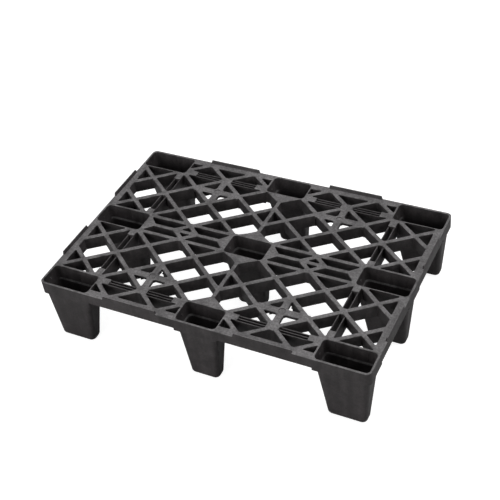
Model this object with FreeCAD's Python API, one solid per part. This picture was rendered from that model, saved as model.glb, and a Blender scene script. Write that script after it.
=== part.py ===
"""Nestable nine-foot plastic display pallet, 600 x 400 mm.

The pallet is a single injection moulding.  It is written here as the named sections that
a moulder or a designer would talk about: nine hollow feet, a lattice deck between them,
grooved stiffening troughs, edge rails with a skirt, and raised safety lips.  Neighbouring
sections meet face to face, without overlap, so that together they are the whole moulding.

+Z is up, +X runs along the long side, -Y is the front.  The origin is on the floor, under
the middle of the pallet.  All lengths are millimetres.
"""
import FreeCAD, Part
import os

V = FreeCAD.Vector

# ---- overall size --------------------------------------------------------------------
LENGTH, WIDTH = 600.0, 400.0
DECK_TOP = 126.0            # height of the flat deck above the floor
LIP_HEIGHT = 6.0            # the safety lips stand this far above the deck
HALF_X, HALF_Y = LENGTH / 2, WIDTH / 2

# ---- deck depths, measured down from the deck top --------------------------------------
RIB_DEPTH = 24.0            # lattice ribs
SKIRT_DEPTH = 20.0          # outer skirt along the edges
BEAM_DEPTH = 30.0           # thin walls of the troughs, which are the pallet's beams
COLLAR_DEPTH = 25.0         # straight collar round the top of each foot
SHOULDER_DEPTH = 28.5       # where the sloping shoulder under the collar ends
GROOVE_DEPTH = 2.5          # the trough walls stand this far below the deck top
DECK_BOTTOM = DECK_TOP - RIB_DEPTH
MARGIN = 1.0                # cutting shapes run past the faces they cut by this much

# ---- feet ----------------------------------------------------------------------------
WALL = 2.5                  # wall of the hollow feet
FLOOR = 3.0                 # closed bottom of each foot
CUP_X = (206.5, 296.5)      # mouth of an end foot, along the length
CUP_Y = (153.0, 196.5)      # mouth of a side foot, across the width
MID_CUP_X = 36.8            # half mouth of a middle foot, along the length
MID_CUP_Y = 22.9            # half mouth of a middle foot, across the width
CUP_DRAFT = 2.6             # the cup narrows this much on each side inside the collar
SHOULDER = 4.0              # how far the leg steps in under the collar
COLLAR_STEP = 1.0           # the leg starts this far inside the collar's outline
LEG_RADIUS = 8.0            # vertical corners of a leg
CUP_RADIUS = 7.0            # vertical corners of the hollow inside it
CORNER_RADIUS = 9.0         # the four outer corners of the pallet
FOOT_X = (221.0, 288.0)     # sole of an end foot, along the length
FOOT_Y = (168.0, 193.5)     # sole of a side foot, across the width
MID_FOOT_X = 26.5           # half sole of a middle foot, along the length
MID_FOOT_Y = 13.5           # half sole of a middle foot, across the width
SOLE_ROUND = ((0.0, 4.0), (1.0, 1.4), (3.6, 0.0))   # inset and height of the sole's round edge

# ---- lattice -------------------------------------------------------------------------
PITCH_X, PITCH_Y = 45.3, 35.0           # one rib crossing to the next
FIRST_X, FIRST_Y = 31.5, 17.5           # the crossing nearest the middle of the pallet
RIB = 7.4                               # top width of a diagonal rib
SPINE = 6.8                             # centre ribs along both axes
GUSSET_Y = (43.0, 128.0)                # tips of the solid gussets on the centre rib
BAND_Y, BAND_RIB = 21.5, 6.4            # rib along each side of the middle band
BORDER = 14.0                           # flat border round the deck
CELL_RADIUS = 1.6                       # corners of the open cells
EDGE_BREAK = 0.9                        # small chamfer round the top of each cell
MIN_CELL = 12.0                         # openings under this area (mm2) are left solid
HOLLOW_WALL = 3.4                       # wide parts are hollow underneath, with this wall
HOLLOW_ROOF = 3.0                       # ... and this much left on top
MIN_HOLLOW = 70.0                       # smallest underside hollow (mm2) worth coring out

# ---- troughs and their plates ----------------------------------------------------------
TROUGH_Y = (152.0, 165.0)               # trough along each long side
TROUGH_WALLS_Y = (153.0, 158.5, 164.0)  # thin walls in it
TROUGH_X = (206.5, 219.5)               # trough beside the end feet
TROUGH_WALLS_X = (207.4, 218.0)
THIN_WALL = 1.6
HUB_X = 120.5                           # middle of the star and of the hub plate
HUB_PLATE = 22.0                        # plate across the trough behind the star
STAR_Y, STAR_BAR = 121.0, 12.4          # middle of the star, width of its two bars
STAR_RADIUS, STAR_THICKNESS = 11.0, 6.0  # its round hub, thickness of hub and bars
GATE_RADIUS, GATE_SINK = 6.2, 1.2       # round moulding gate in each star
TAB = 21.0                              # plates where a trough meets a foot
SIDE_TABS = ((25.0, 39.0), (80.5, 94.0), (133.0, 151.0))

# ---- safety lips -----------------------------------------------------------------------
LIP_WIDTH, LIP_TOP_WIDTH = 4.0, 1.6     # at the foot of the lip and along its crest
LIP_LEAN, LIP_END_SLOPE = 0.5, 1.6      # how far the outer face and the ends lean in
LIP_LONG = (70.0, 172.0)                # start and end of a lip along the long side
LIP_SHORT = (48.0, 126.0)               # ... and along the short side


# ---- plan helpers ------------------------------------------------------------------------
def rect(x0, x1, y0, y1):
    """A flat rectangle in the plan."""
    return polygon([(x0, y0), (x1, y0), (x1, y1), (x0, y1)])


def polygon(points):
    """A flat face through the given plan points."""
    corners = [V(x, y, 0) for x, y in points]
    return Part.Face(Part.makePolygon(corners + corners[:1]))


def strip(start, end, width):
    """A flat strip of the given width along a line."""
    a, b = V(*start, 0), V(*end, 0)
    side = (b - a).cross(V(0, 0, 1)).normalize() * (width / 2)
    return polygon([(p.x, p.y) for p in (a + side, b + side, b - side, a - side)])


def box(x0, x1, y0, y1, z0, z1):
    """A block between the given faces."""
    return Part.makeBox(x1 - x0, y1 - y0, z1 - z0, V(x0, y0, z0))


def shrink(span, amount):
    """The (x0, x1, y0, y1) rectangle made smaller on every side."""
    x0, x1, y0, y1 = span
    return x0 + amount, x1 - amount, y0 + amount, y1 - amount


def rounded_wire(x0, x1, y0, y1, z, radius):
    """A level rectangle with rounded corners."""
    corners = [(x0, y0, 1, 1), (x1, y0, -1, 1), (x1, y1, -1, -1), (x0, y1, 1, -1)]
    inset = radius * (1 - 0.5 ** 0.5)       # from the square corner to the middle of its arc
    ends, middles = [], []
    for x, y, sx, sy in corners:
        along_x, along_y = V(x + sx * radius, y, z), V(x, y + sy * radius, z)
        ends.append((along_y, along_x) if sx * sy > 0 else (along_x, along_y))
        middles.append(V(x + sx * inset, y + sy * inset, z))
    edges = []
    for i in range(4):
        edges.append(Part.Arc(ends[i][0], middles[i], ends[i][1]).toShape())
        edges.append(Part.LineSegment(ends[i][1], ends[(i + 1) % 4][0]).toShape())
    return Part.Wire(edges)


def raised(face, z0, z1):
    """The flat face as a block between two levels."""
    return face.translated(V(0, 0, z0)).extrude(V(0, 0, z1 - z0))


def mirrored(shape, sx, sy):
    """The shape in another quadrant of the plan."""
    if sx < 0:
        shape = shape.mirror(V(0, 0, 0), V(1, 0, 0))
    if sy < 0:
        shape = shape.mirror(V(0, 0, 0), V(0, 1, 0))
    return shape


# ---- deck plan, worked out in the back right quadrant --------------------------------------
def crossing(i, j):
    """Plan position of a rib crossing, counted outwards from the middle."""
    return FIRST_X + i * PITCH_X, FIRST_Y + j * PITCH_Y


def lattice():
    """The diagonal ribs, both ways, as strips that run past the deck's edges."""
    strips = []
    for k in range(-4, 10, 2):
        for way in (1, -1):
            strips.append(strip(crossing(-2, k - 2 * way), crossing(8, k + 8 * way), RIB))
    return strips


def middle_band():
    """The ribs of the middle band, between the centre foot and an end foot."""
    inner, outer = MID_CUP_X + WALL, CUP_X[0] - WALL
    crossed = crossing(2, 0)
    reach = PITCH_X * FIRST_Y / PITCH_Y
    return [
        strip((inner, BAND_Y), (outer, BAND_Y), BAND_RIB),
        strip((crossed[0] - reach, 0), crossed, RIB),
        strip((crossed[0] + reach, 0), crossed, RIB),
        polygon([(inner, 0), (inner, BAND_Y), (inner + BAND_Y, 0)]),
        polygon([(outer, 0), (outer, BAND_Y), (outer - BAND_Y, 0)]),
    ]


def gusset(tip_y, cup_y, wall):
    """A solid gusset that spreads from its tip on the centre rib to a cup's mouth."""
    return polygon([(0, tip_y), (0, cup_y), (FIRST_X, cup_y), (FIRST_X, cup_y + wall)])


def disc(x, y, radius):
    """A flat disc in the plan."""
    return Part.Face(Part.Wire(Part.makeCircle(radius, V(x, y, 0))))


def star():
    """The round hub and the two crossed bars of the star."""
    half = STAR_BAR / 2
    return [
        disc(HUB_X, STAR_Y, STAR_RADIUS),
        rect(HUB_X - half, HUB_X + half, crossing(0, 2)[1], TROUGH_Y[0]),
        rect(crossing(1, 0)[0], crossing(3, 0)[0], STAR_Y - half, STAR_Y + half),
    ]


def plates():
    """Spines, border, and the solid plates beside the feet and troughs."""
    inner, outer = MID_CUP_X + WALL, CUP_X[0] - WALL
    solid = [
        rect(0, SPINE / 2, 0, HALF_Y),
        rect(inner, outer, 0, SPINE / 2),
        rect(0, HALF_X, HALF_Y - BORDER, HALF_Y),
        rect(HALF_X - BORDER, HALF_X, 0, HALF_Y),
        gusset(GUSSET_Y[0], MID_CUP_Y, WALL),
        gusset(GUSSET_Y[1], CUP_Y[0], -WALL),
        rect(HUB_X - HUB_PLATE / 2, HUB_X + HUB_PLATE / 2, *TROUGH_Y),
        rect(inner, inner + TAB, *TROUGH_Y),
        rect(outer - TAB, outer, *TROUGH_Y),
    ]
    solid += [rect(*TROUGH_X, y0, y1) for y0, y1 in SIDE_TABS]
    return solid


def cup_boxes():
    """Outer plan outlines of the four feet that touch the quadrant."""
    inner_x, inner_y = MID_CUP_X + WALL, MID_CUP_Y + WALL
    outer_x, outer_y = CUP_X[0] - WALL, CUP_Y[0] - WALL
    return [rect(x0, x1, y0, y1) for x0, x1 in ((0, inner_x), (outer_x, HALF_X))
            for y0, y1 in ((0, inner_y), (outer_y, HALF_Y))]


def deck_ribs():
    """The diagonal ribs of the quadrant, which stop at the middle band."""
    strips = lattice()
    return strips[0].multiFuse(strips[1:]).common(rect(0, HALF_X, BAND_Y, HALF_Y))


def cell_faces():
    """The open cells of the quadrant, with rounded corners."""
    solid = [deck_ribs()] + middle_band() + plates() + star() + cup_boxes()
    plan = rect(0, HALF_X, 0, HALF_Y).cut(solid)
    cells = []
    for face in plan.Faces:
        if face.Area > MIN_CELL:
            cells.append(face.makeOffset2D(-CELL_RADIUS).makeOffset2D(CELL_RADIUS))
    return cells


def cell_pocket(face):
    """A through pocket for one cell, opening out a little at the deck top."""
    straight = raised(face, DECK_BOTTOM - MARGIN, DECK_TOP + MARGIN)
    inner = face.OuterWire.translated(V(0, 0, DECK_TOP - EDGE_BREAK))
    outer = face.makeOffset2D(EDGE_BREAK).OuterWire.translated(V(0, 0, DECK_TOP))
    return straight, Part.makeLoft([inner, outer], True, True)


def underside_hollows(cells):
    """Cores under the wide parts of the deck, so that no wall is much thicker than another."""
    grown = [cell.makeOffset2D(HOLLOW_WALL) for cell in cells]
    inside = rect(0, HALF_X - HOLLOW_WALL, 0, HALF_Y - HOLLOW_WALL)
    return [raised(face, DECK_BOTTOM - MARGIN, DECK_TOP - HOLLOW_ROOF)
            for face in inside.cut(grown + cup_boxes()).Faces if face.Area > MIN_HOLLOW]


def under_star():
    """The space under the star's hub and bars, between the deep ribs."""
    area = rect(crossing(1, 0)[0], crossing(3, 0)[0], crossing(0, 2)[1], TROUGH_Y[0])
    plan = area.cut([deck_ribs()])
    return [raised(face, DECK_BOTTOM - MARGIN, DECK_TOP - STAR_THICKNESS) for face in plan.Faces]


def trough_walls():
    """The thin parallel walls in the troughs."""
    z0, z1 = DECK_TOP - BEAM_DEPTH, DECK_TOP - GROOVE_DEPTH
    inner, outer = MID_CUP_X + WALL, CUP_X[0] - WALL
    half = THIN_WALL / 2
    walls = [box(inner, outer, y - half, y + half, z0, z1) for y in TROUGH_WALLS_Y]
    y0, y1 = MID_CUP_Y + WALL, CUP_Y[0] - WALL
    walls += [box(x - half, x + half, y0, y1, z0, z1) for x in TROUGH_WALLS_X]
    return walls


def quadrant_deck():
    """The whole deck of one quadrant as one solid."""
    slab = box(0, HALF_X, 0, HALF_Y, DECK_BOTTOM, DECK_TOP)
    cups = [raised(face, DECK_BOTTOM - MARGIN, DECK_TOP + MARGIN) for face in cup_boxes()]
    cells = cell_faces()
    pockets = [solid for face in cells for solid in cell_pocket(face)]
    deck = slab.cut(cups + pockets + underside_hollows(cells) + under_star())
    deck = deck.fuse(trough_walls())
    skirt_bottom = DECK_TOP - SKIRT_DEPTH
    edge = [box(0, HALF_X, HALF_Y - HOLLOW_WALL, HALF_Y, DECK_BOTTOM, skirt_bottom),
            box(HALF_X - HOLLOW_WALL, HALF_X, 0, HALF_Y, DECK_BOTTOM, skirt_bottom)]
    gate = Part.makeCylinder(GATE_RADIUS, GATE_SINK, V(HUB_X, STAR_Y, DECK_TOP - GATE_SINK))
    return deck.cut(edge + [gate]).common(broken_block(DECK_TOP - BEAM_DEPTH))


def broken_block(z0):
    """The pallet's outline from z0 up to the deck top, corners rounded and top edge broken."""
    outline = (-HALF_X, HALF_X, -HALF_Y, HALF_Y)
    levels = [(0.0, z0), (0.0, DECK_TOP - EDGE_BREAK), (EDGE_BREAK, DECK_TOP)]
    wires = [rounded_wire(*shrink(outline, inset), z, CORNER_RADIUS - inset)
             for inset, z in levels]
    return Part.makeLoft(wires, True, True)


# ---- sections of the deck -------------------------------------------------------------------
def quadrant_sections():
    """Where the quadrant's deck is divided: name, x range and y range."""
    inner, outer = MID_CUP_X + WALL, CUP_X[0] - WALL
    band = BAND_Y + BAND_RIB / 2
    x0, x1, x3 = FIRST_X + MARGIN, crossing(1, 0)[0], crossing(3, 0)[0]
    x_panel = TROUGH_X[1] + MARGIN
    y2, y_trough, y_rail = crossing(0, 2)[1], CUP_Y[0] - WALL, TROUGH_Y[1]
    return {
        "spine": (0, x0, 0, y_trough),
        "middle_band": (inner, outer, 0, band),
        "lattice_inner": (x0, x1, band, y_trough),
        "lattice_middle": (x1, x3, band, y2),
        "star": (x1, x3, y2, y_trough),
        "lattice_outer": (x3, x_panel, band, y_trough),
        "side_panel": (x_panel, HALF_X, band, y_trough),
        "trough": (inner, outer, y_trough, y_rail),
        "edge_rail": (inner, outer, y_rail, HALF_Y),
    }


def lip(start, end):
    """A safety lip along the back edge: flush and steep outside, sloping inside."""
    a, b, crest_y = start + LIP_END_SLOPE, end - LIP_END_SLOPE, HALF_Y - LIP_LEAN
    base, low = rect(start, end, HALF_Y - LIP_WIDTH, HALF_Y), DECK_TOP - EDGE_BREAK
    crest = rect(a, b, crest_y - LIP_TOP_WIDTH, crest_y)
    wires = [face.OuterWire.translated(V(0, 0, z))
             for face, z in ((base, low), (crest, DECK_TOP + LIP_HEIGHT))]
    return Part.makeLoft(wires, True, True).cut(broken_block(low - MARGIN))


def short_lip():
    """The same lip along the right edge."""
    shape = lip(*LIP_SHORT)
    shape.rotate(V(0, 0, 0), V(0, 0, 1), -90)
    return mirrored(shape.translated(V(HALF_X - HALF_Y, 0, 0)), 1, -1)


def deck_nodes():
    """Every deck section and lip, mirrored to all four quadrants."""
    deck = quadrant_deck()
    levels = DECK_TOP - BEAM_DEPTH - MARGIN, DECK_TOP + MARGIN
    sections = {name: deck.common(box(*span, *levels))
                for name, span in quadrant_sections().items()}
    sections["lip_long"] = lip(*LIP_LONG)
    sections["lip_short"] = short_lip()
    nodes = {}
    for y_name, sy in (("front", -1), ("back", 1)):
        for x_name, sx in (("left", -1), ("right", 1)):
            for name, shape in sections.items():
                placed = mirrored(shape, sx, sy)
                if name == "spine":
                    key = f"spine_{y_name}"
                elif name == "middle_band":
                    key = f"middle_band_{x_name}"
                else:
                    key = f"{name}_{y_name}_{x_name}"
                nodes.setdefault(key, []).append(placed)
    return {key: parts[0] if len(parts) == 1 else parts[0].fuse(parts[1:]).removeSplitter()
            for key, parts in nodes.items()}


# ---- feet -------------------------------------------------------------------------------------
def tapered(levels, radius):
    """A solid through level rounded rectangles, each given as (x0, x1, y0, y1, z)."""
    wires = [rounded_wire(*level, radius) for level in levels]
    return Part.makeLoft(wires, True, True)


def foot(outer, mouth, sole):
    """One hollow foot: a straight collar, a sloping shoulder, and a tapered leg."""
    collar_z, leg_z = DECK_TOP - COLLAR_DEPTH, DECK_TOP - SHOULDER_DEPTH
    collar = box(*outer, collar_z, DECK_TOP).common(broken_block(collar_z))
    neck = shrink(outer, SHOULDER)
    round_edge = [(*shrink(sole, inset), z) for inset, z in SOLE_ROUND]
    leg = tapered([(*shrink(outer, COLLAR_STEP), collar_z), (*neck, leg_z)] + round_edge,
                  LEG_RADIUS)
    inside = tapered([(*shrink(mouth, -EDGE_BREAK), DECK_TOP), (*mouth, DECK_TOP - EDGE_BREAK),
                      (*shrink(mouth, CUP_DRAFT), collar_z), (*shrink(neck, WALL), leg_z),
                      (*shrink(sole, WALL), FLOOR)], CUP_RADIUS)
    return collar.fuse(leg).cut(inside).removeSplitter()


def feet_nodes():
    """The nine feet, three along each side and three through the middle."""
    nodes = {}
    for x_name, sx in (("left", -1), ("centre", 0), ("right", 1)):
        for y_name, sy in (("front", -1), ("middle", 0), ("back", 1)):
            if sx:
                ox, mx, fx = (CUP_X[0] - WALL, HALF_X), CUP_X, FOOT_X
            else:
                ox, mx, fx = [(-w, w) for w in (MID_CUP_X + WALL, MID_CUP_X, MID_FOOT_X)]
            if sy:
                oy, my, fy = (CUP_Y[0] - WALL, HALF_Y), CUP_Y, FOOT_Y
            else:
                oy, my, fy = [(-w, w) for w in (MID_CUP_Y + WALL, MID_CUP_Y, MID_FOOT_Y)]
            shape = foot((*ox, *oy), (*mx, *my), (*fx, *fy))
            nodes[f"foot_{y_name}_{x_name}"] = mirrored(shape, sx, sy)
    return nodes


def main():
    os.makedirs("parts", exist_ok=True)
    nodes = {**feet_nodes(), **deck_nodes()}
    for name, shape in sorted(nodes.items()):
        shape.exportStep(f"parts/{name}.step")
        print(name, len(shape.Solids), shape.isValid(), round(shape.Volume / 1000, 1), "cm3")


main()
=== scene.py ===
"""Plastic pallet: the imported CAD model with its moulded-plastic finish, its small moulding marks,
a pale floor, soft studio light and the camera. All lengths are in metres."""
import math

import bpy
from mathutils import Matrix, Vector


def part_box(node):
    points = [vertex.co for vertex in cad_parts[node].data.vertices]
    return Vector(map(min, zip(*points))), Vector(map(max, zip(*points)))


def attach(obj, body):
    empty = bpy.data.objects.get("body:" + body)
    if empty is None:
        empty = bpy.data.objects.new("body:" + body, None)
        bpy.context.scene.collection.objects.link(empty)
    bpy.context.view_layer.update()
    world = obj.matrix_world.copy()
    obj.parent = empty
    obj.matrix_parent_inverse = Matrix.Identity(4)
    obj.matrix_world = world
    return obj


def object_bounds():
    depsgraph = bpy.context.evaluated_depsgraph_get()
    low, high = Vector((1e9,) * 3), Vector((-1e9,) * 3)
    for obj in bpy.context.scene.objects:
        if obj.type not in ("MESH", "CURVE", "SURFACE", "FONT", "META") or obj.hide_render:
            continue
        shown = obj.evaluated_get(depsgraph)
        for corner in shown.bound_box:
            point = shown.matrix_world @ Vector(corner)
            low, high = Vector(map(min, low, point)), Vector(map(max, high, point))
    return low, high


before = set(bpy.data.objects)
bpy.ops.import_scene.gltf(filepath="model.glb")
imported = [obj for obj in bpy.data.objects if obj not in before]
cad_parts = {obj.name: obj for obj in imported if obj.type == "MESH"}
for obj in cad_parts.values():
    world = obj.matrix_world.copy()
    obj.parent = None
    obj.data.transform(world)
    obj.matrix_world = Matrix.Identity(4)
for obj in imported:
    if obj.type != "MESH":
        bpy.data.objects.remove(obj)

CAD_LOW, CAD_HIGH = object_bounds()
SCENE = bpy.context.scene

# --- camera ---------------------------------------------------------------------------------
LENS, SENSOR = 73.58, 36.0              # millimetres
CAMERA_AT = (0.68067, -1.14404, 1.27286)
CAMERA_RIGHT = (0.89616, 0.43323, -0.09595)
CAMERA_UP = (-0.22137, 0.62390, 0.74950)

# --- moulding marks, and the sizes of the pallet that they follow ---------------------------
DECK_TOP = 0.126
RIB_BOTTOM = 0.102
GATES = (0.1205, 0.121)                 # middle of each star, either way from the centre
GATE_FLOOR = 0.1248                     # floor of the shallow dimple in the star's hub
CROSSINGS = ((0.0768, 0.0525), (0.1674, 0.0525), (0.1221, 0.0875), (0.1674, 0.1225))
CUP_WALL, SIDE_WALL = 0.0025, 0.0035    # wall of a cup, and where it is a side of the pallet
CUP_SLOPE = 0.106                       # how a cup's wall leans in per metre of depth
PIN_DEPTH = 0.0125                      # pin marks in a cup sit this far below the deck top
PIN_RADIUS, PIN_PROUD = 0.0022, 0.0004
# Outlines of a broken-off gate and of the ring round it: radius, height above the dimple's floor.
GATE_STUB = ((0.0018, -0.0002), (0.0018, 0.0003), (0.0014, 0.0006), (0.0006, 0.0007))
GATE_RING = ((0.0046, -0.0002), (0.0046, 0.00025), (0.0042, 0.0004), (0.0037, 0.0004),
             (0.0034, 0.0002), (0.0033, -0.0001))
LINE_TOP, LINE_BOTTOM = 0.004, 0.022    # tool lines down a cup's long walls, below the deck top
LINE_HALF, LINE_PROUD = 0.0005, 0.0004
LINE_PLACES = (0.21, 0.52, 0.81)        # where they are, as parts of the wall's length

# --- surroundings ---------------------------------------------------------------------------
FLOOR_HALF, FLOOR_LEVEL = 20.0, -0.0002
FLOOR_GREY, FLOOR_ROUGHNESS, FLOOR_SPECULAR = (0.50, 0.50, 0.50, 1.0), 0.9, 0.1
WHITE = (1.0, 1.0, 1.0, 1.0)
GLOW = 0.88                             # how bright the camera sees the floor and the backdrop
SKY_LOW, SKY_HIGH = 0.028, 0.058        # the room's light from the side and from above
# Softboxes: name, place, what it points at, size and power in watts.
SOFTBOXES = (("overhead", (0.1, 0.5, 2.6), (0, 0, 0.1), 2.4, 40),
             ("key", (2.2, 0.6, 1.6), (0, 0, 0.05), 1.2, 21),
             ("front", (-0.9, -2.4, 0.9), (0, 0, 0.05), 1.6, 34))

# --- finish of the plastic ------------------------------------------------------------------
DEEP = (0.0392, 0.0350, 0.0360, 1.0)    # walls, in the dark of a streak
WALL = (0.0558, 0.0502, 0.0514, 1.0)    # walls, in the light of a streak
TOP_DUST_AND_PAINTED_LIGHT = (0.1640, 0.1575, 0.1600, 1.0)     # level faces at the deck's height: dust and scuffing, with painted light from above
SCUFF = (0.270, 0.265, 0.267, 1.0)      # scratches across them
EDGE = (0.190, 0.186, 0.188, 1.0)       # broken edges
LEVEL_FACING = (0.80, 0.99)             # how far up a face points, from a slope to level
TOP_LIGHT_AND_RECESS_SHADE_HEIGHT = (0.1224, 0.1254)         # below these heights, level faces keep the wall colour as painted shade in the recesses; above them, the deck top
EDGE_FACING = ((0.25, 0.45), (0.99, 0.90))
SPECULAR = 0.36
BUMP_STRENGTH, BUMP_DEPTH = 0.5, 0.0003


def node(tree, kind, **settings):
    """A new node; settings are its properties, and input names with their values."""
    made = tree.nodes.new(kind)
    for name, value in settings.items():
        if hasattr(made, name):
            setattr(made, name, value)
        else:
            made.inputs[name.replace("_", " ")].default_value = value
    return made


def link(tree, output, socket):
    """Joins an output to a socket."""
    tree.links.new(output, socket)


def noise(tree, coords, scale, detail=4.0, roughness=0.55, stretch=None, distortion=0.0):
    """Noise output in object space; stretch scales the coordinates first."""
    if stretch is not None:
        mapping = node(tree, "ShaderNodeMapping")
        mapping.inputs["Scale"].default_value = stretch
        link(tree, coords, mapping.inputs["Vector"])
        coords = mapping.outputs["Vector"]
    tex = node(tree, "ShaderNodeTexNoise", Scale=scale, Detail=detail, Roughness=roughness,
               Distortion=distortion)
    link(tree, coords, tex.inputs["Vector"])
    return tex.outputs["Fac"]


def ramp(tree, value, low, high, out_low=0.0, out_high=1.0):
    """value mapped smoothly from low..high to out_low..out_high."""
    made = node(tree, "ShaderNodeMapRange", interpolation_type="SMOOTHSTEP")
    for name, number in (("From Min", low), ("From Max", high), ("To Min", out_low),
                         ("To Max", out_high)):
        made.inputs[name].default_value = number
    link(tree, value, made.inputs["Value"])
    return made.outputs["Result"]


def maths(tree, operation, a, b):
    """a and b, each an output or a number, joined by a Math node."""
    made = node(tree, "ShaderNodeMath", operation=operation)
    for socket, value in zip(made.inputs, (a, b)):
        if isinstance(value, (int, float)):
            socket.default_value = value
        else:
            link(tree, value, socket)
    return made.outputs["Value"]


def blend(tree, factor, a, b):
    """Colour a to colour b by factor; each is an output or a colour."""
    made = node(tree, "ShaderNodeMix", data_type="RGBA")
    link(tree, factor, made.inputs[0])
    for socket, value in ((made.inputs[6], a), (made.inputs[7], b)):
        if isinstance(value, tuple):
            socket.default_value = value
        else:
            link(tree, value, socket)
    return made.outputs[2]


def patterns(tree, coords):
    """The noises that the finish is made of, from broad patches to fine grain."""
    return {
        "cloud": noise(tree, coords, 9.0, 3.0),
        "mottle": noise(tree, coords, 55.0, 5.0, 0.6),
        "fleck": noise(tree, coords, 270.0, 3.0, 0.6),
        "grain": noise(tree, coords, 900.0, 2.0, 0.5),
        "along": noise(tree, coords, 60.0, 6.0, 0.65, stretch=(0.25, 3.0, 1.0), distortion=0.3),
        "across": noise(tree, coords, 60.0, 6.0, 0.65, stretch=(3.0, 0.3, 1.0), distortion=0.3),
        "streaks": noise(tree, coords, 70.0, 3.0, 0.5, stretch=(1.0, 1.0, 0.06)),
    }


def masks(tree, coords, noises):
    """Where the deck's level top (its dust, with painted light from above, and painted shade on level
    faces in the recesses), the broken edges, the scratches and the scuffs are.
    """
    facing, height = node(tree, "ShaderNodeSeparateXYZ"), node(tree, "ShaderNodeSeparateXYZ")
    link(tree, node(tree, "ShaderNodeNewGeometry").outputs["True Normal"], facing.inputs["Vector"])
    link(tree, coords, height.inputs["Vector"])
    up = facing.outputs["Z"]
    # Level faces at the deck's height: lighter from dust and painted light from above. Level faces
    # lower down, in the recesses, stay dark as painted shade.
    top_dust_and_painted_light = maths(tree, "MULTIPLY", ramp(tree, up, *LEVEL_FACING),
                      ramp(tree, height.outputs["Z"], *TOP_LIGHT_AND_RECESS_SHADE_HEIGHT))
    edge = maths(tree, "MULTIPLY", *(ramp(tree, up, *limits) for limits in EDGE_FACING))
    scratched = maths(tree, "MAXIMUM", ramp(tree, noises["along"], 0.56, 0.74),
                      ramp(tree, noises["across"], 0.58, 0.76))
    scuffs = maths(tree, "MULTIPLY", top_dust_and_painted_light,
                   maths(tree, "MULTIPLY", scratched, ramp(tree, noises["cloud"], 0.35, 0.62)))
    return top_dust_and_painted_light, edge, scratched, scuffs


def plastic_colour(tree, noises, top_dust_and_painted_light, edge, scuffs):
    """Dark streaked walls, greyer tops (dust with painted light from above, and painted shade on
    level faces in the recesses), light scuffs and edges, all mottled and flecked.
    """
    side = blend(tree, ramp(tree, noises["streaks"], 0.35, 0.70), DEEP, WALL)
    # Painted light and dust: level faces at the deck's height take the lighter top colour; recessed
    # level faces keep the wall colour as painted shade.
    colour = blend(tree, top_dust_and_painted_light, side, TOP_DUST_AND_PAINTED_LIGHT)
    colour = blend(tree, maths(tree, "MULTIPLY", scuffs, 0.65), colour, SCUFF)
    worn = maths(tree, "MULTIPLY", edge, ramp(tree, noises["mottle"], 0.30, 0.62, 0.35, 1.0))
    colour = blend(tree, worn, colour, EDGE)
    patches = maths(tree, "ADD", maths(tree, "MULTIPLY", noises["cloud"], 0.4),
                    maths(tree, "MULTIPLY", noises["mottle"], 0.6))
    shade = ramp(tree, patches, 0.33, 0.67, 0.70, 1.29)
    strength = maths(tree, "ADD", 0.5, maths(tree, "MULTIPLY", top_dust_and_painted_light, 0.5))
    flecks = maths(tree, "MULTIPLY", strength, ramp(tree, noises["fleck"], 0.36, 0.64, -0.22, 0.22))
    speck = ramp(tree, noises["grain"], 0.35, 0.65, 0.93, 1.06)
    tint = node(tree, "ShaderNodeVectorMath", operation="SCALE")
    link(tree, colour, tint.inputs[0])
    flecked = maths(tree, "MULTIPLY", shade, maths(tree, "ADD", 1.0, flecks))
    link(tree, maths(tree, "MULTIPLY", flecked, speck), tint.inputs["Scale"])
    return tint.outputs["Vector"]


def plastic_bump(tree, noises, scratched):
    """Moulded grain, with the scratches cut into it."""
    relief = maths(tree, "ADD", maths(tree, "MULTIPLY", noises["grain"], 0.35),
                   maths(tree, "ADD", maths(tree, "MULTIPLY", noises["fleck"], 0.5),
                         maths(tree, "MULTIPLY", scratched, -0.35)))
    bump = node(tree, "ShaderNodeBump", Strength=BUMP_STRENGTH, Distance=BUMP_DEPTH)
    link(tree, relief, bump.inputs["Height"])
    return bump.outputs["Normal"]


def moulded_plastic():
    """Black recycled plastic: mottled, greyer and scuffed on top from dust and wear, with painted
    light from above and painted shade in its recesses, worn along its edges.
    """
    made = bpy.data.materials.new("moulded_plastic")
    made.use_nodes = True
    tree = made.node_tree
    shader = tree.nodes["Principled BSDF"]
    coords = node(tree, "ShaderNodeTexCoord").outputs["Object"]
    noises = patterns(tree, coords)
    top_dust_and_painted_light, edge, scratched, scuffs = masks(tree, coords, noises)
    link(tree, plastic_colour(tree, noises, top_dust_and_painted_light, edge, scuffs), shader.inputs["Base Color"])
    rough = maths(tree, "ADD", ramp(tree, noises["mottle"], 0.30, 0.70, 0.40, 0.54),
                  maths(tree, "MULTIPLY", scuffs, 0.16))
    link(tree, rough, shader.inputs["Roughness"])
    shader.inputs["Specular IOR Level"].default_value = SPECULAR
    link(tree, plastic_bump(tree, noises, scratched), shader.inputs["Normal"])
    return made


def paint_nodes(material):
    """Gives every CAD node the finish."""
    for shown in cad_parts.values():
        shown.data.materials.clear()
        shown.data.materials.append(material)


# --- moulding marks ---------------------------------------------------------------------------
def add_piece(name, points, faces, material):
    """A smooth closed mesh of moulded plastic that moves with the pallet."""
    mesh = bpy.data.meshes.new(name)
    mesh.from_pydata([tuple(point) for point in points], [], faces)
    mesh.materials.append(material)
    made = bpy.data.objects.new(name, mesh)
    SCENE.collection.objects.link(made)
    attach(made, "root")


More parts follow.
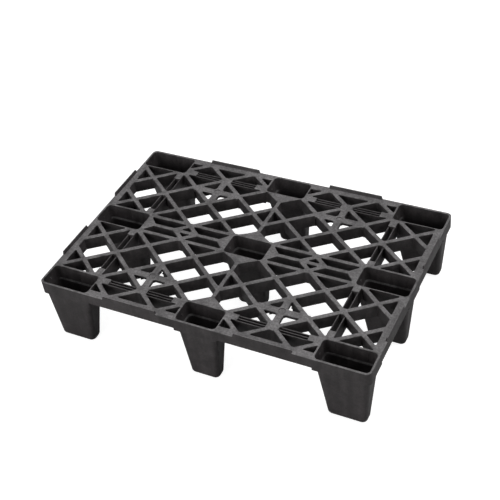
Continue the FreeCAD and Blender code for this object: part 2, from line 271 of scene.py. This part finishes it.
def turned(profile, at, axis, turns=20):
    """Points and faces of a profile (radius, height) turned about an axis through at."""
    axis = Vector(axis)
    side = axis.orthogonal().normalized()
    other = axis.cross(side)
    points, faces = [], []
    for step in range(turns):
        angle = 2 * math.pi * step / turns
        outward = side * math.cos(angle) + other * math.sin(angle)
        points += [Vector(at) + outward * radius + axis * height for radius, height in profile]
    rings = len(profile)
    for step in range(turns):
        near, far = step * rings, (step + 1) % turns * rings
        for k in range(rings - 1):
            faces.append((near + k, far + k, far + k + 1, near + k + 1))
    faces.append(tuple(step * rings for step in reversed(range(turns))))
    faces.append(tuple(step * rings + rings - 1 for step in range(turns)))
    return points, faces


def merged(shapes):
    """Several (points, faces) as one."""
    points, faces = [], []
    for more, sides in shapes:
        start = len(points)
        points += more
        faces += [tuple(start + k for k in side) for side in sides]
    return points, faces


def pin_mark(at, axis):
    """The witness mark of an ejector pin: a low disc with a soft edge and a dished middle."""
    r, h = PIN_RADIUS, PIN_PROUD
    return turned([(r, -h), (r, 0.6 * h), (0.9 * r, h), (0.78 * r, h), (0.70 * r, 0.4 * h)], at, axis)


def gate_mark(x, y):
    """The stub left where the moulding was broken off its runner, in a low ring."""
    at, up = (x, y, GATE_FLOOR), (0, 0, 1)
    return merged([turned(GATE_RING, at, up, turns=32), turned(GATE_STUB, at, up)])


def tool_line(x, y, inward):
    """A low ridge down a cup's long wall; inward is +1 or -1 along Y."""
    points, faces = [], []
    for depth in (LINE_TOP, LINE_BOTTOM):
        wall = y + inward * CUP_SLOPE * depth
        z = DECK_TOP - depth
        points += [(x - LINE_HALF, wall - inward * LINE_PROUD, z),
                   (x + LINE_HALF, wall - inward * LINE_PROUD, z),
                   (x + LINE_HALF / 2, wall + inward * LINE_PROUD, z),
                   (x - LINE_HALF / 2, wall + inward * LINE_PROUD, z)]
    faces = [(0, 1, 2, 3), (7, 6, 5, 4), (0, 4, 5, 1), (1, 5, 6, 2), (2, 6, 7, 3), (3, 7, 4, 0)]
    if inward < 0:
        faces = [tuple(reversed(face)) for face in faces]
    return points, faces


def mouth(foot, axis):
    """Where the mouth of a foot's cup starts and ends along X (axis 0) or Y (axis 1)."""
    low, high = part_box(foot)
    at_side = [abs(face) > CAD_HIGH[axis] - SIDE_WALL for face in (low[axis], high[axis])]
    walls = [SIDE_WALL if side else CUP_WALL for side in at_side]
    return low[axis] + walls[0], high[axis] - walls[1]


def cup_marks(foot):
    """Pin marks on the short walls of a foot's cup and tool lines down its long walls."""
    (left, right), (near, far) = mouth(foot, 0), mouth(foot, 1)
    inset, z = CUP_SLOPE * PIN_DEPTH, DECK_TOP - PIN_DEPTH
    shapes = [pin_mark((left + inset, (near + far) / 2, z), (1, 0, 0)),
              pin_mark((right - inset, (near + far) / 2, z), (-1, 0, 0))]
    for part in LINE_PLACES:
        x = left + part * (right - left)
        shapes += [tool_line(x, far, -1), tool_line(x, near, 1)]
    return merged(shapes)


def add_marks(material):
    """Every small mark that the moulding tool leaves on the pallet."""
    quadrants = [(sx, sy) for sx in (-1, 1) for sy in (-1, 1)]
    for sx, sy in quadrants:
        place = f"{'back' if sy > 0 else 'front'}_{'right' if sx > 0 else 'left'}"
        add_piece(f"gate_mark_{place}", *gate_mark(sx * GATES[0], sy * GATES[1]), material)
        pins = [pin_mark((sx * x, sy * y, RIB_BOTTOM), (0, 0, -1)) for x, y in CROSSINGS]
        add_piece(f"rib_pin_marks_{place}", *merged(pins), material)
    for foot in sorted(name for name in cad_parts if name.startswith("foot_")):
        add_piece(foot.replace("foot_", "cup_marks_"), *cup_marks(foot), material)


# --- surroundings ---------------------------------------------------------------------------
def floor_paint():
    """Pale grey that also glows to the camera, so that the ground looks white."""
    paint = bpy.data.materials.new("floor_paint")
    paint.use_nodes = True
    tree = paint.node_tree
    shader = tree.nodes["Principled BSDF"]
    for name, value in (("Base Color", FLOOR_GREY), ("Roughness", FLOOR_ROUGHNESS),
                        ("Specular IOR Level", FLOOR_SPECULAR), ("Emission Color", WHITE)):
        shader.inputs[name].default_value = value
    seen = node(tree, "ShaderNodeLightPath").outputs["Is Camera Ray"]
    link(tree, maths(tree, "MULTIPLY", seen, GLOW), shader.inputs["Emission Strength"])
    return paint


def floor():
    """A pale floor, far wider than the pallet and a hair below its soles."""
    mesh = bpy.data.meshes.new("floor")
    corners = [(x * FLOOR_HALF, y * FLOOR_HALF, FLOOR_LEVEL)
               for x, y in ((-1, -1), (1, -1), (1, 1), (-1, 1))]
    mesh.from_pydata(corners, [], [(0, 1, 2, 3)])
    made = bpy.data.objects.new("floor", mesh)
    SCENE.collection.objects.link(made)
    mesh.materials.append(floor_paint())


def softbox(name, at, target, size, watts):
    """A square area light that faces the target."""
    data = bpy.data.lights.new(name, "AREA")
    data.shape, data.size, data.energy = "SQUARE", size, watts
    made = bpy.data.objects.new(name, data)
    SCENE.collection.objects.link(made)
    made.location = at
    made.rotation_euler = (Vector(target) - Vector(at)).to_track_quat("-Z", "Y").to_euler()


def light():
    """A dim even room that the camera sees as bright as the floor, and the softboxes."""
    world = bpy.data.worlds.new("studio")
    world.use_nodes = True
    tree = world.node_tree
    back = tree.nodes["Background"]
    direction = node(tree, "ShaderNodeSeparateXYZ")
    link(tree, node(tree, "ShaderNodeTexCoord").outputs["Generated"], direction.inputs["Vector"])
    back.inputs["Color"].default_value = WHITE
    room = ramp(tree, direction.outputs["Z"], -0.30, 0.75, SKY_LOW, SKY_HIGH)
    seen = node(tree, "ShaderNodeLightPath").outputs["Is Camera Ray"]
    link(tree, maths(tree, "MAXIMUM", room, maths(tree, "MULTIPLY", seen, GLOW)),
         back.inputs["Strength"])
    SCENE.world = world
    for settings in SOFTBOXES:
        softbox(*settings)


def camera():
    """The camera, turned by its own right and up directions."""
    data = bpy.data.cameras.new("camera")
    data.lens, data.sensor_width = LENS, SENSOR
    made = bpy.data.objects.new("camera", data)
    SCENE.collection.objects.link(made)
    right, up = Vector(CAMERA_RIGHT), Vector(CAMERA_UP)
    back = right.cross(up)
    turn = Matrix((right, up, back)).transposed().to_4x4()
    made.matrix_world = Matrix.Translation(CAMERA_AT) @ turn
    SCENE.camera = made


PLASTIC = moulded_plastic()
paint_nodes(PLASTIC)
add_marks(PLASTIC)
floor()
light()
camera()
SCENE.view_settings.view_transform = "Standard"
